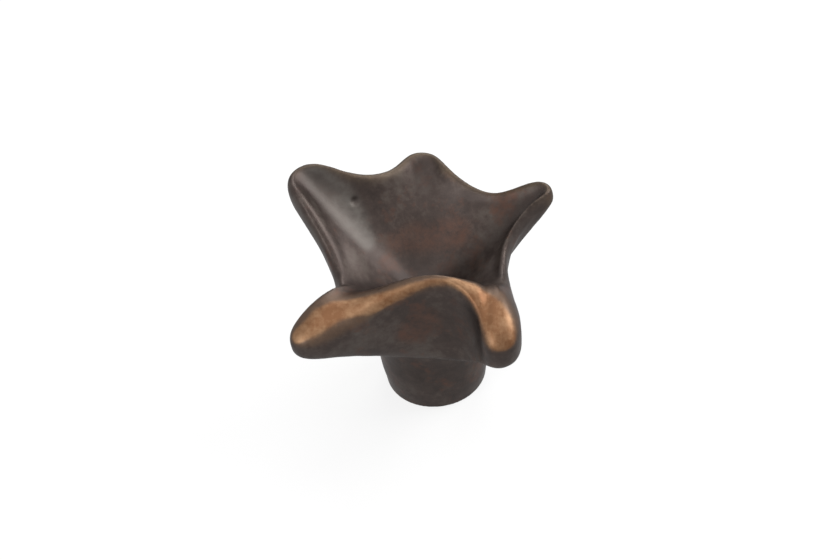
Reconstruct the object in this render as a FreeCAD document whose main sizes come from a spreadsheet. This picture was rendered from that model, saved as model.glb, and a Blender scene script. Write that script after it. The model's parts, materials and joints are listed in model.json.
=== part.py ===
import FreeCAD, Part
import math
import os
import Sketcher

# A cabinet knob, cast in one piece and finished in rubbed dark bronze. A round stem
# stands on a flat foot and spreads into a thick dish. The dish's rim runs out into five
# unlike arms, bent up and down as if a hand had shaped them in wax, and rises into a
# tall wall at the front. A screw comes up through the door into a tapped blind hole.
# Frame: millimetres, origin at the centre of the foot's flat face, +Z up the stem, -Y
# towards the tall front wall. Bearings are degrees from +X towards +Y. Heights on the
# head are counted from the neck, where the stem runs into the head.

STEM_SIZES = {
    "foot_radius": (8.0, "radius of the flat foot"),
    "foot_round": (0.4, "rounding of the foot's edge"),
    "waist_height": (4.0, "height of the stem's waist"),
    "waist_radius": (8.7, "radius there"),
    "neck_height": (14.0, "height where the stem runs into the head"),
    "neck_radius": (9.3, "radius there"),
}
HEAD_SIZES = {
    "lip_depth": (2.0, "depth of the rim's rounding, below its crest"),
    "lip_crown": (0.045, "rise of the rim's crown for each millimetre of its breadth"),
    "dish_floor": (5.5, "height of the dish's lowest place above the neck"),
    "dish_bottom": (4.5, "radius of the dish's round bottom, between its sloping sides"),
}
SCREW_SIZES = {
    "thread_diameter": (4.0, "outer diameter of the screw's thread"),
    "thread_pitch": (0.7, "pitch of the thread"),
    "hole_depth": (12.0, "depth of the tapped hole's straight wall"),
    "drill_point_angle": (118.0, "full angle of the hole's drilled end"),
    "mouth_rim": (0.4, "breadth of the countersink round the thread"),
    "mouth_angle": (120.0, "full angle of the countersink"),
}

# Each arm: bearing and reach of its tip, the way its end points, half its breadth at the
# tip, and height of the crest there. Then the edge of the dish in the arm and the keel
# under it, each with its bearing, reach, half breadth and height.
ARM_FIELDS = ("bearing", "reach", "heading", "half_breadth", "crest",
              "dish_bearing", "dish_reach", "dish_half_breadth", "dish_edge",
              "keel_bearing", "keel_reach", "keel_half_breadth", "keel")
ARMS = {
    "right_back": (17.0, 22.6, 6.0, 2.1, 18.7, 16.5, 20.6, 1.0, 18.5, 17.0, 21.6, 1.9, 14.5),
    "back": (85.0, 19.4, 85.0, 3.8, 17.6, 84.0, 16.8, 2.4, 17.4, 85.0, 18.2, 3.2, 11.0),
    "left_back": (145.0, 23.6, 142.0, 3.9, 21.7, 144.0, 21.6, 2.5, 21.5, 145.0, 22.0, 3.3, 15.0),
    "left_front": (214.5, 26.3, 208.0, 2.8, 13.4, 209.0, 15.0, 1.2, 15.8, 213.0, 25.4, 2.6, 7.6),
    "right_front": (298.5, 24.4, 280.0, 3.0, 13.2, 312.3, 15.1, 0.5, 17.0, 299.5, 23.4, 3.0, 6.2),
}

# The rim between the arms: bearing and distance of its outside and height of its crest.
# Then the edge of the dish and the foot of the wall, each with its bearing, distance and
# height.
GAP_FIELDS = ("bearing", "distance", "crest",
              "dish_bearing", "dish_distance", "dish_edge",
              "foot_bearing", "foot_distance", "foot_height")
GAPS = {
    "back_right": (34.5, 16.7, 15.5, 36.0, 14.7, 15.7, 34.0, 12.2, 3.0),
    "back_left": (120.0, 16.3, 18.8, 121.0, 14.3, 18.8, 120.0, 12.0, 3.0),
    "left": (187.0, 14.4, 14.0, 178.0, 12.4, 14.8, 187.0, 11.6, 3.6),
    "left_low": (208.5, 17.4, 12.2, 202.0, 13.8, 14.8, 207.0, 15.8, 5.0),
    "front_left": (240.0, 14.4, 15.4, 234.0, 10.0, 17.0, 240.0, 12.7, 1.6),
    "front_right": (291.5, 14.4, 17.2, 291.0, 11.0, 19.3, 285.5, 14.6, 1.6),
    "front_root": (293.0, 18.0, 15.4, 305.0, 13.1, 18.3, 288.6, 16.5, 2.6),
    "front_turn": (291.5, 19.9, 14.1, 308.5, 14.0, 18.0, 290.8, 18.3, 4.1),
    "right": (340.0, 13.7, 12.6, 338.0, 12.2, 13.2, 340.0, 12.0, 3.6),
    "right_high": (356.0, 13.5, 13.8, 356.0, 12.2, 13.8, 356.0, 11.9, 6.6),
}

# The order of the arms and gaps round the head, anticlockwise from the right.
ROUND = ("right_back", "back_right", "back", "back_left", "left_back", "left", "left_low",
         "left_front", "front_left", "front_right", "front_root", "front_turn", "right_front",
         "right", "right_high")
TIP_TURNS = (-70, -35, 0, 35, 70)

# The casting's skin is one net of smooth columns, which run up it from the foot to the
# bottom of the dish, at even steps along the rim. These are the places of its rings.
# The stem's middle ring: shares of the way from the waist to the neck, out and up.
STEM_MIDDLE = (0.55, 0.55)
# From the neck to the foot of the head's wall, and from there to the rim: out and up.
FLARE = ((0.06, 0.10), (0.30, 0.42), (0.72, 0.76))
WALL = ((0.30, 0.12), (0.82, 0.36))
# Where the wall turns over into the rim: depths below the crest, in lip depths.
SHOULDER = (1.3, 0.45)
# Over the rim: share of its breadth, share of the crown's rise, and drop in lip depths.
CROWN = ((0.25, 0.6, 0.0), (0.55, 1.0, 0.0), (0.85, 0.5, 0.25))
# Down the dish: shares of the way from its middle to its edge, and for each the number of
# columns on each side over which its ring is evened, so that the arms fade inwards.
DISH_SHARES = (0.95, 0.84, 0.70, 0.55, 0.40, 0.26, 0.13, 0.0)
DISH_EVENING_COLUMNS = (1, 3, 5, 6, 7, 8, 8, 8)
# The dish's sides start this many lip depths below the marks of its edge.
EDGE_DROP = 0.5
COLUMNS = 96
STEM_EVENING_COLUMNS = 12
DEGREE = 3


def fill_sheet(doc):
    """A spreadsheet with one aliased cell for each driving dimension."""
    sheet = doc.addObject("Spreadsheet::Sheet", "Sizes")
    rows = []
    for group in (STEM_SIZES, HEAD_SIZES, SCREW_SIZES):
        for name, (value, note) in group.items():
            rows.append((name, value, note))
    for table, fields in ((ARMS, ARM_FIELDS), (GAPS, GAP_FIELDS)):
        for place, values in table.items():
            for field, value in zip(fields, values):
                name = place + "_" + field
                rows.append((name, value, name.replace("_", " ")))
    for row, (name, value, note) in enumerate(rows, start=1):
        sheet.set("A%d" % row, note)
        sheet.set("B%d" % row, str(value))
        sheet.setAlias("B%d" % row, name)
    doc.recompute()
    return sheet


def polar(distance, bearing, height):
    angle = math.radians(bearing)
    return FreeCAD.Vector(distance * math.cos(angle), distance * math.sin(angle), height)


def at_height(point, height):
    return FreeCAD.Vector(point.x, point.y, height)


def mix(a, b, share):
    return a * (1 - share) + b * share


def between(a, b, out, up):
    """The point a share out from a to b in plan, and another share up."""
    return at_height(mix(a, b, out), mix(a.z, b.z, up))


def arm_end(bearing, reach, heading, half_breadth, height):
    """Points round the end of an arm, on an arc of its half breadth."""
    centre = polar(reach - half_breadth, bearing, height)
    return [centre + polar(half_breadth, heading + turn, 0) for turn in TIP_TURNS]


def closed_line(points, marks):
    curve = Part.BSplineCurve()
    curve.interpolate(Points=points, PeriodicFlag=True, Parameters=marks)
    return curve


def guide_lines(sheet):
    """Three closed lines round the head: the rim's outside, the dish's edge, and the
    foot of the head's wall."""
    neck = sheet.neck_height
    rim, edge, foot = [], [], []
    for place in ROUND:
        if place in ARMS:
            (bearing, reach, heading, half_breadth, crest,
             dish_bearing, dish_reach, dish_half_breadth, dish_edge,
             keel_bearing, keel_reach, keel_half_breadth, keel) = [
                 sheet.get(place + "_" + field) for field in ARM_FIELDS]
            rim += arm_end(bearing, reach, heading, half_breadth, neck + crest)
            edge += arm_end(dish_bearing, dish_reach, heading, dish_half_breadth, neck + dish_edge)
            foot += arm_end(keel_bearing, keel_reach, heading, keel_half_breadth, neck + keel)
        else:
            (bearing, distance, crest,
             dish_bearing, dish_distance, dish_edge,
             foot_bearing, foot_distance, foot_height) = [
                 sheet.get(place + "_" + field) for field in GAP_FIELDS]
            rim.append(polar(distance, bearing, neck + crest))
            edge.append(polar(dish_distance, dish_bearing, neck + dish_edge))
            foot.append(polar(foot_distance, foot_bearing, neck + foot_height))
    marks = [0.0]
    for a, b in zip(rim, rim[1:] + rim[:1]):
        marks.append(marks[-1] + (b - a).Length)
    return [closed_line(points, marks) for points in (rim, edge, foot)]


def evened(points, reach):
    """Each point moved twice to the middle of its neighbours, up to a reach away."""
    count = len(points)
    for _ in range(2):
        points = [sum((points[(k + step) % count] for step in range(-reach, reach + 1)),
                      FreeCAD.Vector()) * (1.0 / (2 * reach + 1))
                  for k in range(count)]
    return points


def climb(distance, bottom):
    """How far the dish climbs, before it is scaled, at a distance from its middle: round
    over a bottom of the given radius, then straight up its sloping side."""
    return math.hypot(distance, bottom) - bottom


def skin_rings(sheet):
    """The net's rings, from the foot's face up the stem, out under the head, up its
    wall, over the rim and down into the dish."""
    rim_line, edge_line, foot_line = guide_lines(sheet)
    path = rim_line.toShape()
    stations = [path.getParameterByLength(path.Length * k / COLUMNS) for k in range(COLUMNS)]
    outer = [rim_line.value(station) for station in stations]
    inner = [edge_line.value(station) for station in stations]
    lower = [foot_line.value(station) for station in stations]
    headings = [at_height(p, 0).normalize() for p in evened(outer, STEM_EVENING_COLUMNS)]

    def circle(radius, height):
        return [at_height(heading * radius, height) for heading in headings]

    waist = circle(sheet.waist_radius, sheet.waist_height)
    neck = circle(sheet.neck_radius, sheet.neck_height)
    rings = [
        circle(sheet.foot_radius - sheet.foot_round, 0),
        circle(sheet.foot_radius, 0),
        circle(sheet.foot_radius, sheet.foot_round),
        waist,
        [between(w, n, *STEM_MIDDLE) for w, n in zip(waist, neck)],
    ]
    for out, up in FLARE:
        rings.append([between(n, u, out, up) for n, u in zip(neck, lower)])
    for out, up in WALL:
        rings.append([between(u, o, out, up) for u, o in zip(lower, outer)])
    for depth in SHOULDER:
        rings.append([at_height(o, o.z - depth * sheet.lip_depth) for o in outer])
    for share, rise, drop in CROWN:
        ring = []
        for o, i in zip(outer, inner):
            crown = rise * sheet.lip_crown * (o - i).Length
            ring.append(at_height(mix(o, i, share), mix(o.z, i.z, share) + crown - drop * sheet.lip_depth))
        rings.append(ring)
    floor = sheet.neck_height + sheet.dish_floor
    for share, reach in zip(DISH_SHARES, DISH_EVENING_COLUMNS):
        ring = []
        for i in evened(inner, reach):
            breadth = math.hypot(i.x, i.y)
            rise = climb(share * breadth, sheet.dish_bottom) / climb(breadth, sheet.dish_bottom)
            ring.append(at_height(i * share, mix(floor, i.z - EDGE_DROP * sheet.lip_depth, rise)))
        rings.append(ring)
    return rings


def casting_shape(sheet):
    """The whole casting without its hole, as one closed solid: a smooth skin over the
    rings and the foot's flat face."""
    rings = skin_rings(sheet)
    columns = [[ring[k] for ring in rings] for k in range(COLUMNS)]
    clamped = DEGREE + 1
    skin = Part.BSplineSurface()
    skin.buildFromPolesMultsKnots(
        columns,
        [1] * (COLUMNS + 1),
        [clamped] + [1] * (len(rings) - clamped) + [clamped],
        range(COLUMNS + 1),
        range(len(rings) - DEGREE + 1),
        True, False, DEGREE, DEGREE)
    face = skin.toShape()
    foot_edge = [e for e in face.Edges if not e.Degenerated and e.BoundBox.ZMax < sheet.foot_round][0]
    shell = Part.Shell([face, Part.Face(Part.Wire([foot_edge]))])
    shell.sewShape()
    solid = Part.Solid(shell)
    if solid.Volume < 0:
        solid.reverse()
    return solid


def tapped_casting(doc, sheet):
    """The casting as a body: the bare casting, then the hole for the screw."""
    bare = doc.addObject("Part::Feature", "BareCasting")
    bare.Shape = casting_shape(sheet)
    body = doc.addObject("PartDesign::Body", "KnobCasting")
    body.Label = "knob_casting"
    body.BaseFeature = bare
    doc.recompute()

    bottom = [f for f in body.Origin.OriginFeatures if f.Role == "XY_Plane"][0]
    sketch = body.newObject("Sketcher::SketchObject", "ThreadCircle")
    sketch.AttachmentSupport = [(bottom, "")]
    sketch.MapMode = "FlatFace"
    sketch.addGeometry(Part.Circle(FreeCAD.Vector(), FreeCAD.Vector(0, 0, 1), sheet.thread_diameter / 2))
    sketch.addConstraint(Sketcher.Constraint("Coincident", 0, 3, -1, 1))
    thread = sketch.addConstraint(Sketcher.Constraint("Diameter", 0, sheet.thread_diameter))
    sketch.renameConstraint(thread, "thread")
    sketch.setExpression("Constraints.thread", "Sizes.thread_diameter")
    doc.recompute()

    hole = body.newObject("PartDesign::Hole", "TappedHole")
    hole.Profile = sketch
    hole.Reversed = True
    doc.recompute()
    hole.DepthType = "Dimension"
    hole.DrillPoint = "Angled"
    hole.HoleCutType = "Countersink"
    hole.setExpression("Diameter", "Sizes.thread_diameter - Sizes.thread_pitch")
    hole.setExpression("Depth", "Sizes.hole_depth")
    hole.setExpression("DrillPointAngle", "Sizes.drill_point_angle")
    hole.setExpression("HoleCutDiameter", "Sizes.thread_diameter + 2 * Sizes.mouth_rim")
    hole.setExpression("HoleCutCountersinkAngle", "Sizes.mouth_angle")
    doc.recompute()
    return body


def check(doc, bodies):
    """Stops if any object of the document failed, or a casting isn't a sound solid."""
    for item in doc.Objects:
        if "Invalid" in item.State or "Error" in item.State:
            raise RuntimeError("%s failed: %s" % (item.Name, item.State))
    for body in bodies:
        if body.Shape.isNull() or not body.Shape.isValid() or len(body.Shape.Solids) != 1:
            raise RuntimeError("%s isn't one valid solid" % body.Label)
    if doc.KnobCasting.Shape.Volume >= doc.BareCasting.Shape.Volume:
        raise RuntimeError("the tapped hole cut nothing")


def main():
    doc = FreeCAD.newDocument("cabinet_knob")
    sheet = fill_sheet(doc)
    bodies = [tapped_casting(doc, sheet)]
    check(doc, bodies)
    os.makedirs("parts", exist_ok=True)
    for body in bodies:
        body.Shape.exportStep("parts/%s.step" % body.Label)


main()
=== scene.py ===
"""A cabinet knob, cast in one piece and finished in rubbed dark bronze.

An open dish with five unlike arms and a tall front wall stands on a flared round stem,
which is tapped from below for its screw. Lengths are in metres, +Z is up the stem, and
-Y is the side of the tall front wall. Bearings of lamps and of the camera are degrees
from -Y towards +X.
"""

import json
import math

import bmesh
import bpy
import numpy as np
from bpy.props import FloatProperty, FloatVectorProperty, IntProperty, PointerProperty
from bpy.types import Operator, Panel, PropertyGroup
from mathutils import Matrix, Vector


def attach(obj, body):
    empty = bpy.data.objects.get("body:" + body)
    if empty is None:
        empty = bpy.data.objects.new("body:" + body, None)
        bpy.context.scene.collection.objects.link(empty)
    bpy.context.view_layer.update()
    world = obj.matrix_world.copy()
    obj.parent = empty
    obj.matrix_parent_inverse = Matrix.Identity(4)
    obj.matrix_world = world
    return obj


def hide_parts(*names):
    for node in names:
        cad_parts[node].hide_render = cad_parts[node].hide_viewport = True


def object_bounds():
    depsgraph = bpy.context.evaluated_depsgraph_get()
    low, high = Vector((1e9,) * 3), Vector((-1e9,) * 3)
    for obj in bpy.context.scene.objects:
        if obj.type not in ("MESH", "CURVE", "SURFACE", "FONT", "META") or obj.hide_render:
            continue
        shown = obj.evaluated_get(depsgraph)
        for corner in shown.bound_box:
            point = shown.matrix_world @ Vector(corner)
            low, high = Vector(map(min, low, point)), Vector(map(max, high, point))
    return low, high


bl_info = {
    "name": "Cast Bronze Cabinet Knob",
    "version": (1, 0, 0),
    "blender": (4, 5, 0),
    "location": "3D View > Sidebar > Cabinet Knob",
    "description": "Builds a cast bronze cabinet knob, its tapped hole and a studio for it",
    "category": "Object",
}

MM = 0.001
CASTING = "knob_casting"
BODY = "root"
WHITE = (1.0, 1.0, 1.0, 1.0)

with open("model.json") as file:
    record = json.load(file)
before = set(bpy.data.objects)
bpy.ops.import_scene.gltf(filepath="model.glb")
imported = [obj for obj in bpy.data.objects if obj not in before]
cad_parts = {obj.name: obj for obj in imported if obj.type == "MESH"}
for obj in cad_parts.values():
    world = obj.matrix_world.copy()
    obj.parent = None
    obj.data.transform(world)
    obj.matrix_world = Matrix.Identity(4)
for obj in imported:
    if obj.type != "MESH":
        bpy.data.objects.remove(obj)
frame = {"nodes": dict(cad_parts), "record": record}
CAD_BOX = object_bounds()
SCREW_HOLE = next(m for m in frame["record"]["mounts"] if m["name"] == "screw_hole")
BORE_RADIUS = SCREW_HOLE["dims"]["r_mm"] * MM
BORE_END = SCREW_HOLE["pos_m"][2] + SCREW_HOLE["dims"]["length_mm"] * MM

# The crest that hands have rubbed bare, from the end of the left front arm along the
# front wall's top to the end of the right front arm: place and half breadth, in mm.
RUBBED_CREST = (
    (-20.6, -14.3, 27.0, 1.2),
    (-18.5, -13.8, 28.0, 1.7),
    (-16.5, -12.7, 28.8, 2.1),
    (-14.5, -11.8, 29.1, 2.0),
    (-12.0, -11.6, 29.1, 1.7),
    (-8.9, -11.6, 29.4, 1.6),
    (-5.3, -11.5, 29.8, 1.5),
    (-2.0, -11.2, 30.6, 1.3),
    (0.5, -11.2, 31.2, 1.3),
    (2.5, -11.6, 31.5, 1.2),
    (4.7, -12.3, 31.8, 1.2),
    (6.6, -13.1, 31.4, 1.4),
    (8.2, -14.3, 30.3, 1.8),
    (9.4, -16.2, 29.5, 2.2),
    (10.1, -18.2, 28.7, 2.6),
    (10.6, -19.8, 27.8, 2.7),
    (10.8, -20.9, 26.8, 2.7),
)

# Other patches of the patina, as places with half breadths in mm: old grey wax down the left back
# arm's hollow, which is partly a painted sheen standing for the lamp's light on that face; and
# reddish stains across the dish and on the front wall, which partly paint the copper crest's
# reflection.
WAX_AND_PAINTED_SHEEN = (
    (-15.2, 12.8, 33.8, 2.2),
    (-12.3, 10.3, 31.0, 2.8),
    (-10.3, 7.9, 28.5, 2.4),
    (-8.6, 5.6, 26.1, 1.6),
)
# Partly reddish patina, partly a painted reflection of the copper crest on the dish and the front
# wall.
DISH_STAIN_AND_REFLECTION = ((-4.1, 6.3, 24.2, 1.6), (-0.9, 7.0, 23.8, 2.4), (5.7, 6.4, 24.6, 2.4))
WALL_STAIN_AND_REFLECTION = ((-3.0, -11.5, 22.0, 2.4), (-0.5, -11.5, 24.5, 2.0))

# The one dent that shows, in the dish: its place, breadth and depth in mm.
DENT = (-9.6, 10.6, 30.2, 1.1, 0.30)


def length(name, description, default):
    return FloatProperty(name=name, description=description, default=default,
                         subtype="DISTANCE", unit="LENGTH", min=0.0, precision=6)


def angle(name, description, degrees):
    return FloatProperty(name=name, description=description, default=math.radians(degrees),
                         subtype="ANGLE", unit="ROTATION")


def share(name, description, default):
    return FloatProperty(name=name, description=description, default=default, min=0.0,
                         max=1.0, subtype="FACTOR")


def colour(name, description, default):
    return FloatVectorProperty(name=name, description=description, default=default, size=3,
                               min=0.0, max=1.0, subtype="COLOR")


def number(name, description, default):
    return FloatProperty(name=name, description=description, default=default, min=0.0)


def count(name, description, default):
    return IntProperty(name=name, description=description, default=default, min=1)


class KnobThread(PropertyGroup):
    """The tapped hole in the knob's foot."""

    thread_radius: length("Thread radius", "Outer radius of the screw's thread", 2.0 * MM)
    pitch: length("Pitch", "Distance from one turn of the thread to the next", 0.7 * MM)
    plain_end: length("Plain end", "Length of the bore that the tap doesn't reach", 1.6 * MM)
    mouth_radius: length("Mouth radius", "Radius of the countersink at the foot", 2.4 * MM)
    mouth_angle: angle("Mouth angle", "Full angle of the countersink", 120)
    point_angle: angle("Point angle", "Full angle of the drilled end", 118)
    facets: count("Facets", "Flats in one turn of the thread", 56)
    rows_per_turn: count("Rows", "Rows of faces from one turn to the next", 8)


class KnobSurface(PropertyGroup):
    """How the cast skin is meshed and how uneven it is."""

    grain: length("Mesh grain", "Size of the mesh's faces", 0.265 * MM)
    relaxing: count("Relaxing", "Rounds of smoothing after the mesh is made even", 6)
    wave_height: length("Wave height", "Height of the skin's slow unevenness", 0.07 * MM)
    wave_size: length("Wave size", "Distance from wave to wave", 6.0 * MM)
    dimple_height: length("Dimple height", "Depth of the small tool marks", 0.022 * MM)
    dimple_size: length("Dimple size", "Distance from one tool mark to the next", 1.7 * MM)
    pit_depth: length("Pit depth", "Depth of the few casting pits", 0.16 * MM)
    pit_spacing: length("Pit spacing", "Side of the cells that may hold a pit", 5.0 * MM)
    even_height: length("Even height", "How far up from the foot the skin is even", 0.5 * MM)
    seed: count("Seed", "Which pattern of waves, tool marks and pits", 7)
    sharp_angle: angle("Sharp angle", "Turn from face to face that makes a sharp edge", 50)


class KnobFinish(PropertyGroup):
    """The colours and sheen of the bronze."""

    dark: colour("Dark patina", "Patina in the shaded hollows", (0.033, 0.024, 0.021))
    mid: colour("Patina", "The main dark brown", (0.050, 0.036, 0.031))
    pale: colour("Pale patina", "Where the wax has gone grey", (0.078, 0.064, 0.055))
    # Also the colour of the placed stains, which partly paint the copper crest's reflection.
    red: colour("Red patina", "Reddish brown clouds and stains", (0.078, 0.038, 0.026))
    # Partly light wear, partly a painted glint: the olive stands for the lamps' reflection on the
    # far rim's lip.
    olive: colour("Olive rim", "The lightly rubbed far rim", (0.080, 0.056, 0.032))
    copper: colour("Copper", "Bare metal on the rubbed crest", (0.135, 0.060, 0.025))
    gold: colour("Gold", "The brightest bare metal", (0.250, 0.145, 0.078))
    brown: colour("Half-rubbed brown", "Patina beside the bare metal", (0.100, 0.060, 0.037))
    # Partly old wax, partly a painted sheen: the lighter grey stands for the lamp's light on the
    # left back arm's hollow.
    grey: colour("Grey wax", "Old wax in the left back arm", (0.098, 0.088, 0.079))
    metallic: share("Metallic", "How metallic the finish is under its wax", 0.90)
    satin: share("Satin", "Roughness of the smoothest patina", 0.46)
    rough: share("Roughest", "Roughness of the dullest patina", 0.54)
    polish: share("Polish", "How much less rough the bare metal is", 0.05)
    edge_glare: share("Edge glare", "How much the metal whitens at a grazing angle", 0.55)
    wax: share("Wax", "How much clear wax lies on the metal", 0.20)
    wax_dullness: share("Wax dullness", "Roughness of the wax", 0.36)
    grain_height: length("Grain height", "Height of the fine grain in the shading", 0.012 * MM)


class KnobStage(PropertyGroup):
    """The floor, the light and the camera."""

    floor_size: length("Floor size", "Side of the square floor", 3.0)
    floor_colour: colour("Floor", "Colour of the pale floor", (0.86, 0.86, 0.86))
    whiteness: share("Whiteness", "How much of the floor's look is plain white", 0.82)
    room: number("Room light", "Strength of the even light from all sides", 0.55)
    lens: number("Lens", "Focal length in millimetres", 145.0)
    distance: length("Distance", "From the lens to the middle of the foot", 0.550)
    elevation: angle("Elevation", "How far the camera looks down", 45.5)
    roll: angle("Roll", "How far the stem leans to the left in the picture", 6.9)
    foot_across: number("Foot across", "Foot's place from the picture's left, in pixels", 436.6)
    foot_down: number("Foot down", "Foot's place from the picture's top, in pixels", 371.4)


def feed(tree, socket, source):
    """Gives a node's input a value, or joins it to another node's output."""
    if isinstance(source, bpy.types.NodeSocket):
        tree.links.new(source, socket)
    else:
        socket.default_value = source


def add(tree, kind, inputs=None, **settings):
    """Adds a node, sets it, and fills its inputs, which are given by name or number."""
    node = tree.nodes.new(kind)
    for name, value in settings.items():
        setattr(node, name, value)
    for key, source in (inputs or {}).items():
        feed(tree, node.inputs[key], source)
    return node


def maths(tree, operation, *values):
    return add(tree, "ShaderNodeMath", dict(enumerate(values)), operation=operation).outputs[0]


def ramp(tree, value, low, high, to_low=0.0, to_high=1.0, smooth=False):
    """A value carried from one range to another, and held at its ends."""
    node = add(tree, "ShaderNodeMapRange", {"Value": value, "From Min": low, "From Max": high,
                                            "To Min": to_low, "To Max": to_high},
               interpolation_type="SMOOTHSTEP" if smooth else "LINEAR")
    return node.outputs["Result"]


def noise(tree, where, size, detail=2.0, roughness=0.5, seed=0.0):
    """Cloudy noise, from 0 to 1, with clouds of a given size in metres."""
    node = add(tree, "ShaderNodeTexNoise",
               {"Vector": where, "W": seed, "Scale": maths(tree, "DIVIDE", 1.0, size),
                "Detail": detail, "Roughness": roughness},
               noise_dimensions="4D")
    return node.outputs[0]


def new_geometry_tree(name, sockets):
    """A geometry tree with its mesh in and out and the named inputs."""
    tree = bpy.data.node_groups.new(name, "GeometryNodeTree")
    face = tree.interface
    face.new_socket("Mesh", in_out="INPUT", socket_type="NodeSocketGeometry")
    for socket_name, kind in sockets:
        face.new_socket(socket_name, in_out="INPUT", socket_type="NodeSocket" + kind)
    face.new_socket("Mesh", in_out="OUTPUT", socket_type="NodeSocketGeometry")
    return tree, tree.nodes.new("NodeGroupInput").outputs


def close_tree(tree, mesh, material):
    """Ends a geometry tree in real faces of one material."""
    real = add(tree, "GeometryNodeRealizeInstances", {"Geometry": mesh}).outputs[0]
    dressed = add(tree, "GeometryNodeSetMaterial", {"Geometry": real, "Material": material})
    add(tree, "NodeGroupOutput", {0: dressed.outputs[0]})


def uneven_skin_tree():
    """Slow waves, small tool marks and a few pits, along the skin's own normal. They fade
    out towards the foot, which stays flat and round."""
    noise_low, noise_high = 0.25, 0.75
    cells_without_pit = 0.72
    # A pit's flat floor and its edge, from its middle, in sides of a cell.
    pit_floor, pit_edge = 0.04, 0.17
    # Where the skin is fully uneven, in even heights above the foot.
    fully_uneven = 4.0
    tree, given = new_geometry_tree("uneven_cast_skin", (
        ("Wave height", "Float"), ("Wave size", "Float"),
        ("Dimple height", "Float"), ("Dimple size", "Float"),
        ("Pit depth", "Float"), ("Pit spacing", "Float"),
        ("Even height", "Float"), ("Seed", "Float"), ("Material", "Material")))
    where = add(tree, "GeometryNodeInputPosition").outputs[0]
    total = None
    for kind, detail in (("Wave", 1.0), ("Dimple", 2.0)):
        cloud = noise(tree, where, given[kind + " size"], detail=detail, seed=given["Seed"])
        level = ramp(tree, cloud, noise_low, noise_high, -1.0, 1.0)
        lift = maths(tree, "MULTIPLY", level, given[kind + " height"])
        total = lift if total is None else maths(tree, "ADD", total, lift)

    cells = add(tree, "ShaderNodeTexVoronoi",
                {"Vector": where, "W": given["Seed"], "Randomness": 1.0,
                 "Scale": maths(tree, "DIVIDE", 1.0, given["Pit spacing"])},
                voronoi_dimensions="4D")
    lot = add(tree, "ShaderNodeSeparateXYZ", {0: cells.outputs["Color"]}).outputs["X"]
    chosen = maths(tree, "GREATER_THAN", lot, cells_without_pit)
    bowl = ramp(tree, cells.outputs["Distance"], pit_floor, pit_edge, 1.0, 0.0, smooth=True)
    pit = maths(tree, "MULTIPLY", maths(tree, "MULTIPLY", bowl, chosen), given["Pit depth"])
    total = maths(tree, "SUBTRACT", total, pit)

    height = add(tree, "ShaderNodeSeparateXYZ", {0: where}).outputs["Z"]
    freed = ramp(tree, height, given["Even height"],
                 maths(tree, "MULTIPLY", given["Even height"], fully_uneven), smooth=True)
    normal = add(tree, "GeometryNodeInputNormal").outputs[0]
    offset = add(tree, "ShaderNodeVectorMath",
                 {0: normal, "Scale": maths(tree, "MULTIPLY", total, freed)}, operation="SCALE")
    moved = add(tree, "GeometryNodeSetPosition",
                {"Geometry": given["Mesh"], "Offset": offset.outputs[0]})
    close_tree(tree, moved.outputs[0], given["Material"])
    return tree


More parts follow.
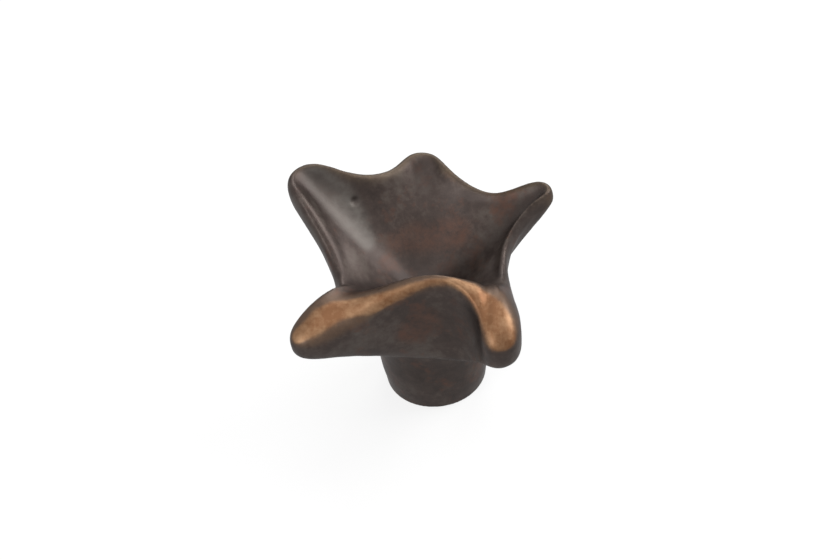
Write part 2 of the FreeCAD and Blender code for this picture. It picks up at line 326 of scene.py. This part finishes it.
def tapped_hole_tree():
    """Cuts a tapped blind hole up from the foot: a countersunk mouth, a right-handed
    thread, a plain end and the drill's point. The cutter is a round bar, whose surface
    follows the thread's profile and climbs by one pitch in each turn."""
    # The flats of the thread's inner edge and of its groove, as shares of the pitch.
    edge_flat, groove_flat = 0.25, 0.125
    # Half the bar's own height, and where its top part begins.
    half_bar, top_part = 0.5, 0.75
    tree, given = new_geometry_tree("tapped_hole", (
        ("Thread radius", "Float"), ("Bore radius", "Float"), ("Pitch", "Float"),
        ("Bore end", "Float"), ("Plain end", "Float"), ("Overshoot", "Float"),
        ("Mouth radius", "Float"), ("Mouth half angle", "Float"), ("Point half angle", "Float"),
        ("Facets", "Int"), ("Rows", "Int"), ("Material", "Material")))
    bar = add(tree, "GeometryNodeMeshCylinder",
              {"Vertices": given["Facets"], "Side Segments": given["Rows"],
               "Radius": 1.0, "Depth": 1.0}, fill_type="TRIANGLE_FAN").outputs["Mesh"]
    where = add(tree, "ShaderNodeSeparateXYZ",
                {0: add(tree, "GeometryNodeInputPosition").outputs[0]}).outputs
    upward = maths(tree, "ADD", where["Z"], half_bar)
    travel = maths(tree, "ADD", given["Bore end"], given["Overshoot"])
    height = maths(tree, "SUBTRACT", maths(tree, "MULTIPLY", upward, travel), given["Overshoot"])

    turn = maths(tree, "DIVIDE", maths(tree, "ARCTAN2", where["Y"], where["X"]), 2 * math.pi)
    pitches = maths(tree, "DIVIDE", height, given["Pitch"])
    phase = maths(tree, "FRACT", maths(tree, "SUBTRACT", pitches, turn))
    slope = maths(tree, "ABSOLUTE", maths(tree, "MULTIPLY_ADD", phase, 2.0, -1.0))
    tooth = ramp(tree, slope, edge_flat, 1.0 - groove_flat)
    tap_end = maths(tree, "SUBTRACT", given["Bore end"], given["Plain end"])
    tapped = ramp(tree, height, tap_end, maths(tree, "ADD", tap_end, given["Pitch"]), 1.0, 0.0)
    full_depth = maths(tree, "SUBTRACT", given["Thread radius"], given["Bore radius"])
    depth = maths(tree, "MULTIPLY", full_depth, tapped)
    threaded = maths(tree, "MULTIPLY_ADD", tooth, depth, given["Bore radius"])
    narrowing = maths(tree, "MULTIPLY", height, maths(tree, "TANGENT", given["Mouth half angle"]))
    mouth = maths(tree, "SUBTRACT", given["Mouth radius"], narrowing)
    radius = maths(tree, "MAXIMUM", threaded, mouth)

    squares = [maths(tree, "MULTIPLY", where[axis], where[axis]) for axis in "XY"]
    off_axis = maths(tree, "SQRT", maths(tree, "ADD", *squares))
    at_top = maths(tree, "GREATER_THAN", upward, top_part)
    at_tip = maths(tree, "MULTIPLY", at_top, maths(tree, "SUBTRACT", 1.0, off_axis))
    point_slope = maths(tree, "TANGENT", given["Point half angle"])
    point = maths(tree, "DIVIDE", given["Bore radius"], point_slope)
    place = add(tree, "ShaderNodeCombineXYZ",
                {"X": maths(tree, "MULTIPLY", where["X"], radius),
                 "Y": maths(tree, "MULTIPLY", where["Y"], radius),
                 "Z": maths(tree, "MULTIPLY_ADD", at_tip, point, height)})
    cutter = add(tree, "GeometryNodeSetPosition", {"Geometry": bar, "Position": place.outputs[0]})
    cut = add(tree, "GeometryNodeMeshBoolean", operation="DIFFERENCE", solver="MANIFOLD")
    tree.links.new(given["Mesh"], cut.inputs["Mesh 1"])
    tree.links.new(cutter.outputs[0], cut.inputs["Mesh 2"])
    close_tree(tree, cut.outputs["Mesh"], given["Material"])
    return tree


def set_modifier(piece, tree, values):
    """Puts a geometry tree on a piece and sets its inputs by their names."""
    modifier = piece.modifiers.new(tree.name, "NODES")
    modifier.node_group = tree
    for item in tree.interface.items_tree:
        if item.in_out == "INPUT" and item.name in values:
            modifier[item.identifier] = values[item.name]


def baked(piece):
    """The piece's mesh with its modifiers worked in, which are then removed."""
    bpy.context.view_layer.update()
    evaluated = piece.evaluated_get(bpy.context.evaluated_depsgraph_get())
    mesh = bpy.data.meshes.new_from_object(evaluated)
    piece.modifiers.clear()
    return mesh


def new_piece(name, mesh):
    piece = bpy.data.objects.new(name, mesh)
    bpy.context.scene.collection.objects.link(piece)
    return piece


def closed_casting(mouth_radius):
    """A merged copy of the casting's skin, with its plain hole filled in at the foot."""
    merging_distance = 0.0001 * MM
    margin = 0.02 * MM
    shape = bmesh.new()
    shape.from_mesh(frame["nodes"][CASTING].data)
    bmesh.ops.remove_doubles(shape, verts=shape.verts, dist=merging_distance)
    reach = mouth_radius + margin
    top = BORE_END + BORE_RADIUS
    hole = [f for f in shape.faces
            if all(math.hypot(v.co.x, v.co.y) < reach and v.co.z < top for v in f.verts)]
    bmesh.ops.delete(shape, geom=hole, context="FACES")
    bmesh.ops.edgeloop_fill(shape, edges=[e for e in shape.edges if e.is_boundary])
    mesh = bpy.data.meshes.new(CASTING + "_closed")
    shape.to_mesh(mesh)
    shape.free()
    return mesh


def numbers(items, field, width, kind=np.float32):
    """A field of all vertices or edges, as rows of numbers."""
    values = np.empty(len(items) * width, kind)
    items.foreach_get(field, values)
    return values.reshape(-1, width)


def places(mesh):
    return numbers(mesh.vertices, "co", 3).astype(float)


def set_places(mesh, points):
    mesh.vertices.foreach_set("co", points.astype(np.float32).ravel())
    mesh.update()


def relaxed(points, pairs, rounds, step=1.0):
    """The points after each has moved towards the mean of its neighbours, some times."""
    a, b = pairs.T
    total = len(points)
    neighbours = np.bincount(a, minlength=total) + np.bincount(b, minlength=total)
    for _ in range(rounds):
        sums = [np.bincount(a, points[b, k], total) + np.bincount(b, points[a, k], total)
                for k in range(points.shape[1])]
        points = points + step * (np.stack(sums, axis=1) / neighbours[:, None] - points)
    return points


def smooth_skin(mesh, rounds):
    """Takes the voxel steps out of an even mesh, and lays the foot's face flat again. A
    slightly longer step back after each step keeps the mesh from shrinking."""
    step, step_back = 0.50, 0.52
    foot_unevenness = 0.05 * MM
    points = places(mesh)
    pairs = numbers(mesh.edges, "vertices", 2, np.int32)
    for _ in range(rounds):
        points = relaxed(points, pairs, 1, step)
        points = relaxed(points, pairs, 1, -step_back)
    foot = points[:, 2] < foot_unevenness
    points[foot, 2] = 0.0
    set_places(mesh, points)


def eased(values):
    """Values held between 0 and 1, with soft ends."""
    held = np.clip(values, 0.0, 1.0)
    return held * held * (3.0 - 2.0 * held)


def nearness(points, path, softness=1.0):
    """1 near the middle of a path of places with half breadths, falling to 0 past its
    edges. The fall is as wide as the half breadth times the softness."""
    full_share = 0.5
    best = np.zeros(len(points))
    for start, end in zip(path, path[1:]):
        a, b = np.array(start) * MM, np.array(end) * MM
        along = b[:3] - a[:3]
        part = np.clip((points - a[:3]) @ along / (along @ along), 0.0, 1.0)
        distance = np.linalg.norm(points - a[:3] - part[:, None] * along, axis=1)
        breadth = a[3] + part * (b[3] - a[3])
        best = np.maximum(best, 1.0 + (full_share - distance / breadth) / softness)
    return eased(best)


def press_dent(mesh, dent):
    """Presses one round dent into the skin."""
    points = places(mesh)
    normals = numbers(mesh.vertices, "normal", 3).astype(float)
    *place, breadth, depth = np.array(dent) * MM
    away = np.linalg.norm(points - place, axis=1) / breadth
    set_places(mesh, points - normals * (depth * eased(1.0 - away))[:, None])


def mark_wear_and_painted_light(mesh):
    """Stores the marks that the finish reads, from 0 to 1 for each vertex: where the crest is
    rubbed and where it is only handled, where grey wax lies with a painted sheen, where stains
    lie that partly paint the copper crest's reflection, where the far rim stands proud with a
    partly painted glint, and where the skin is hollow."""
    # The skin is proud or hollow by its distance from a copy of it, levelled in rounds.
    levelling_rounds = 40
    fully_proud, fully_hollow = 0.35 * MM, 0.15 * MM
    handled_softness = 2.6
    # Only skin that faces up is rubbed. These are heights of its normal.
    least_upward, upward_range = 0.05, 0.50
    # The far rim lies behind a line that slants across the head. Its olive is partly light wear
    # and partly a painted glint, standing for the lamps' reflection on the lip.
    far_start, far_range, far_slant = 6.0 * MM, 5.0 * MM, 0.25
    hole_reach = 3.0 * MM
    points = places(mesh)
    normals = numbers(mesh.vertices, "normal", 3).astype(float)
    pairs = numbers(mesh.edges, "vertices", 2, np.int32)
    x, y, z = points.T
    in_hole = (np.hypot(x, y) < hole_reach) & (z < BORE_END + BORE_RADIUS)
    proud = ((points - relaxed(points, pairs, levelling_rounds)) * normals).sum(axis=1)
    proud[in_hole] = 0.0
    faces_up = eased((normals[:, 2] - least_upward) / upward_range)
    far_rim_wear_and_glint = eased((y + far_slant * x - far_start) / far_range)
    marks = {
        "rubbed": nearness(points, RUBBED_CREST) * faces_up,
        "handled": nearness(points, RUBBED_CREST, handled_softness) * faces_up,
        # Grey wax down the left back arm's hollow, partly a painted sheen.
        "wax_and_painted_sheen": nearness(points, WAX_AND_PAINTED_SHEEN),
        # Stains that partly paint the copper crest's reflection.
        "stain_and_reflection": np.maximum(nearness(points, DISH_STAIN_AND_REFLECTION), nearness(points, WALL_STAIN_AND_REFLECTION)),
        # Olive on the far rim, partly a painted glint on its lip.
        "proud": eased(proud / fully_proud) * far_rim_wear_and_glint,
        "hollow": eased(-proud / fully_hollow),
    }
    for name, values in marks.items():
        attribute = mesh.attributes.new(name, "FLOAT", "POINT")
        attribute.data.foreach_set("value", values.astype(np.float32))


# Each cloudy pattern of the patina: the size of its clouds, detail, roughness and seed.
PATTERNS = {
    "clouds": (6.5 * MM, 4.0, 0.62, 1.0),
    "mottle": (1.3 * MM, 5.0, 0.65, 2.0),
    "grain": (0.28 * MM, 3.0, 0.60, 3.0),
    "red_clouds": (4.5 * MM, 4.0, 0.70, 8.0),
}

# Where each part of the finish begins and where it is full, in the pattern that steers it.
SPANS = {
    "mid": (0.38, 0.52),
    "pale": (0.50, 0.66),
    "red": (0.54, 0.68),
    "break_up": (0.30, 0.62),
    "bare": (0.20, 1.00),
    "gold": (0.42, 0.60),
    "dull": (0.30, 0.70),
}

# The marks in the order in which they colour the patina: the finish's colour, the share
# that is even, and the share that the mottle breaks up.
MARKS = {
    # The stains partly paint the copper crest's reflection.
    "stain_and_reflection": ("red", 0.00, 0.75),
    # The grey wax is partly a painted sheen.
    "wax_and_painted_sheen": ("grey", 0.50, 0.40),
    "hollow": ("dark", 0.60, 0.00),
    # The olive far rim is partly a painted glint.
    "proud": ("olive", 0.15, 0.40),
    "handled": ("brown", 0.60, 0.40),
}


def blended(tree, factor, a, b):
    """One colour mixed into another."""
    node = add(tree, "ShaderNodeMix", data_type="RGBA")
    feed(tree, node.inputs[0], factor)
    feed(tree, node.inputs[6], a)
    feed(tree, node.inputs[7], b)
    return node.outputs[2]


def bronze_material(finish):
    """Dark bronze under clear wax: clouds of brown, grey and red, a far rim of olive that is
    partly a painted glint, a grey patch that is partly a painted sheen, red stains that partly
    paint the crest's reflection, and bare copper and gold where hands have rubbed the crest."""
    # How much of the fine mottle goes into each pattern, and how it frays the bare edge.
    mottle_in_patina, mottle_in_metal, mottle_in_relief = 0.45, 0.40, 0.60
    fraying, mottle_middle = 0.50, 0.50
    most_red = 0.75
    material = bpy.data.materials.new("rubbed_bronze")
    material.use_nodes = True
    tree = material.node_tree
    tree.nodes.clear()
    where = add(tree, "ShaderNodeTexCoord").outputs["Object"]
    patterns = {name: noise(tree, where, *facts) for name, facts in PATTERNS.items()}
    mottle = patterns["mottle"]

    def paint(name):
        return (*getattr(finish, name), 1.0)

    def mark(name):
        return add(tree, "ShaderNodeAttribute", attribute_name=name).outputs["Fac"]

    def clouds_with_mottle(part):
        broad = maths(tree, "MULTIPLY", patterns["clouds"], 1.0 - part)
        return maths(tree, "MULTIPLY_ADD", mottle, part, broad)

    patina = clouds_with_mottle(mottle_in_patina)
    tone = blended(tree, ramp(tree, patina, *SPANS["mid"]), paint("dark"), paint("mid"))
    tone = blended(tree, ramp(tree, patina, *SPANS["pale"]), tone, paint("pale"))
    reddened = ramp(tree, patterns["red_clouds"], *SPANS["red"], 0.0, most_red)
    tone = blended(tree, reddened, tone, paint("red"))

    break_up = ramp(tree, mottle, *SPANS["break_up"])
    for name, (colour_name, even, broken) in MARKS.items():
        strength = maths(tree, "MULTIPLY_ADD", break_up, broken, even)
        tone = blended(tree, maths(tree, "MULTIPLY", mark(name), strength), tone,
                       paint(colour_name))

    fringe = maths(tree, "SUBTRACT", mottle, mottle_middle)
    rubbed = maths(tree, "MULTIPLY_ADD", fringe, fraying, mark("rubbed"))
    bare = ramp(tree, rubbed, *SPANS["bare"], smooth=True)
    streaks = ramp(tree, clouds_with_mottle(mottle_in_metal), *SPANS["gold"])
    metal = blended(tree, streaks, paint("copper"), paint("gold"))
    tone = blended(tree, bare, tone, metal)

    dullness = ramp(tree, mottle, *SPANS["dull"], finish.satin, finish.rough)
    dullness = maths(tree, "MULTIPLY_ADD", bare, -finish.polish, dullness)
    height = maths(tree, "MULTIPLY_ADD", mottle, mottle_in_relief, patterns["grain"])
    relief = add(tree, "ShaderNodeBump", {"Height": height, "Distance": finish.grain_height,
                                          "Strength": 1.0}).outputs[0]
    shader = add(tree, "ShaderNodeBsdfPrincipled",
                 {"Base Color": tone, "Metallic": finish.metallic, "Roughness": dullness,
                  "Specular Tint": (finish.edge_glare,) * 3 + (1.0,),
                  "Coat Weight": finish.wax, "Coat Roughness": finish.wax_dullness,
                  "Normal": relief, "Coat Normal": relief})
    add(tree, "ShaderNodeOutputMaterial", {"Surface": shader.outputs[0]})
    return material


class KNOB_OT_casting(Operator):
    """Build the bronze casting, its uneven skin, its tapped hole, and its wear together with its
    painted sheen and reflections
    """

    bl_idname = "knob.casting"
    bl_label = "Bronze casting"

    def execute(self, context):
        thread = context.scene.knob_thread
        surface = context.scene.knob_surface
        material = bronze_material(context.scene.knob_finish)
        piece = new_piece("bronze_casting", closed_casting(thread.mouth_radius))
        remesh = piece.modifiers.new("even_mesh", "REMESH")
        remesh.mode = "VOXEL"
        remesh.voxel_size = surface.grain
        piece.data = baked(piece)
        smooth_skin(piece.data, surface.relaxing)
        press_dent(piece.data, DENT)
        set_modifier(piece, uneven_skin_tree(), {
            "Wave height": surface.wave_height,
            "Wave size": surface.wave_size,
            "Dimple height": surface.dimple_height,
            "Dimple size": surface.dimple_size,
            "Pit depth": surface.pit_depth,
            "Pit spacing": surface.pit_spacing,
            "Even height": surface.even_height,
            "Seed": float(surface.seed),
            "Material": material,
        })
        # The cutter starts below the foot, so that it cuts the foot's face cleanly.
        overshoot = 0.5 * MM
        turns = (BORE_END + overshoot) / thread.pitch
        set_modifier(piece, tapped_hole_tree(), {
            "Thread radius": thread.thread_radius,
            "Bore radius": BORE_RADIUS,
            "Pitch": thread.pitch,
            "Bore end": BORE_END,
            "Plain end": thread.plain_end,
            "Overshoot": overshoot,
            "Mouth radius": thread.mouth_radius,
            "Mouth half angle": thread.mouth_angle / 2,
            "Point half angle": thread.point_angle / 2,
            "Facets": thread.facets,
            "Rows": round(turns * thread.rows_per_turn),
            "Material": material,
        })
        piece.data = baked(piece)
        piece.data.name = piece.name
        piece.data.shade_smooth()
        piece.data.set_sharp_from_angle(angle=surface.sharp_angle)
        mark_wear_and_painted_light(piece.data)
        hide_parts(CASTING)
        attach(piece, BODY)
        return {"FINISHED"}


# Each lamp: its bearing and elevation seen from the knob, in degrees, its distance and
# side, in metres, and its power, in watts.
LAMPS = {
    "overhead": (0, 88, 0.70, 0.55, 1.5),
    "right_back": (104, 31, 0.60, 0.42, 3.2),
    "left": (-50, 32, 0.60, 0.24, 1.1),
    "behind": (165, 40, 0.65, 0.30, 1.6),
}


def direction(bearing, elevation):
    """The way from the knob towards a lamp or the camera."""
    return Vector((math.sin(bearing) * math.cos(elevation),
                   -math.cos(bearing) * math.cos(elevation), math.sin(elevation)))


def add_lamp(name, bearing, elevation, distance, side, power, target):
    lamp = bpy.data.lights.new(name, "AREA")
    lamp.shape = "SQUARE"
    lamp.size = side
    lamp.energy = power
    holder = bpy.data.objects.new(name, lamp)
    back = direction(math.radians(bearing), math.radians(elevation))
    holder.location = target + back * distance
    holder.rotation_euler = back.to_track_quat("Z", "Y").to_euler()
    bpy.context.scene.collection.objects.link(holder)


def seen_directly(tree):
    """1 for what the camera sees, straight or in polished metal or glass."""
    path = add(tree, "ShaderNodeLightPath").outputs
    return maths(tree, "MAXIMUM", path["Is Camera Ray"],
                 maths(tree, "MAXIMUM", path["Is Glossy Ray"], path["Is Transmission Ray"]))


def add_floor(stage):
    """A pale floor that looks white and keeps the knob's shadow."""
    half = stage.floor_size / 2
    corners = [(-half, -half, 0), (half, -half, 0), (half, half, 0), (-half, half, 0)]
    mesh = bpy.data.meshes.new("floor")
    mesh.from_pydata(corners, [], [(0, 1, 2, 3)])
    material = bpy.data.materials.new("pale_floor")
    material.use_nodes = True
    tree = material.node_tree
    tree.nodes.clear()
    matt = add(tree, "ShaderNodeBsdfDiffuse", {"Color": (*stage.floor_colour, 1.0)})
    white = add(tree, "ShaderNodeEmission", {"Color": WHITE, "Strength": 1.0})
    factor = maths(tree, "MULTIPLY", seen_directly(tree), stage.whiteness)
    both = add(tree, "ShaderNodeMixShader", {0: factor, 1: matt.outputs[0], 2: white.outputs[0]})
    add(tree, "ShaderNodeOutputMaterial", {"Surface": both.outputs[0]})
    mesh.materials.append(material)
    new_piece("floor", mesh)


def add_world(stage):
    """Even light from all sides, which looks white where it is seen."""
    world = bpy.data.worlds.new("studio")
    world.use_nodes = True
    tree = world.node_tree
    tree.nodes.clear()
    light = add(tree, "ShaderNodeBackground", {"Color": WHITE, "Strength": stage.room})
    white = add(tree, "ShaderNodeBackground", {"Color": WHITE, "Strength": 1.0})
    both = add(tree, "ShaderNodeMixShader",
               {0: seen_directly(tree), 1: light.outputs[0], 2: white.outputs[0]})
    add(tree, "ShaderNodeOutputWorld", {"Surface": both.outputs[0]})
    bpy.context.scene.world = world


def add_camera(stage):
    """A long lens from in front and above, turned so that the stem leans to the left."""
    picture_width, picture_height = 840, 560
    camera = bpy.data.cameras.new("camera")
    camera.lens = stage.lens
    camera.clip_start = 0.01
    holder = bpy.data.objects.new("camera", camera)
    bpy.context.scene.collection.objects.link(holder)
    back = direction(0.0, stage.elevation)
    level = Vector((1.0, 0.0, 0.0))
    right = level * math.cos(stage.roll) - back.cross(level) * math.sin(stage.roll)
    up = back.cross(right)
    pixel = stage.distance * camera.sensor_width / camera.lens / picture_width
    across = (stage.foot_across - picture_width / 2) * pixel
    down = (stage.foot_down - picture_height / 2) * pixel
    place = back * stage.distance - right * across + up * down
    turned = Matrix((right, up, back)).transposed().to_4x4()
    holder.matrix_world = Matrix.Translation(place) @ turned
    bpy.context.scene.camera = holder


class KNOB_OT_stage(Operator):
    """Build the floor, the even light, the lamps and the camera"""

    bl_idname = "knob.stage"
    bl_label = "Floor, light and camera"

    def execute(self, context):
        stage = context.scene.knob_stage
        add_floor(stage)
        add_world(stage)
        lowest, highest = CAD_BOX
        for name, facts in LAMPS.items():
            add_lamp(name, *facts, (lowest + highest) / 2)
        add_camera(stage)
        context.scene.view_settings.view_transform = "Standard"
        return {"FINISHED"}


class KNOB_PT_sidebar(Panel):
    """Sizes, finish and stage of the knob, and the steps that build it"""

    bl_idname = "KNOB_PT_sidebar"
    bl_label = "Cabinet Knob"
    bl_space_type = "VIEW_3D"
    bl_region_type = "UI"
    bl_category = "Cabinet Knob"

    def draw(self, context):
        for step, name in ((KNOB_OT_casting, "knob_thread"), (None, "knob_surface"),
                           (None, "knob_finish"), (KNOB_OT_stage, "knob_stage")):
            group = getattr(context.scene, name)
            box = self.layout.box()
            for field in group.__annotations__:
                box.prop(group, field)
            if step:
                box.operator(step.bl_idname)


GROUPS = {
    "knob_thread": KnobThread,
    "knob_surface": KnobSurface,
    "knob_finish": KnobFinish,
    "knob_stage": KnobStage,
}
CLASSES = (*GROUPS.values(), KNOB_OT_casting, KNOB_OT_stage, KNOB_PT_sidebar)


def register():
    for item in CLASSES:
        bpy.utils.register_class(item)
    for name, group in GROUPS.items():
        setattr(bpy.types.Scene, name, PointerProperty(type=group))


def unregister():
    for name in GROUPS:
        delattr(bpy.types.Scene, name)
    for item in reversed(CLASSES):
        bpy.utils.unregister_class(item)


def main():
    register()
    bpy.ops.knob.casting()
    bpy.ops.knob.stage()


if __name__ == "__main__":
    main()
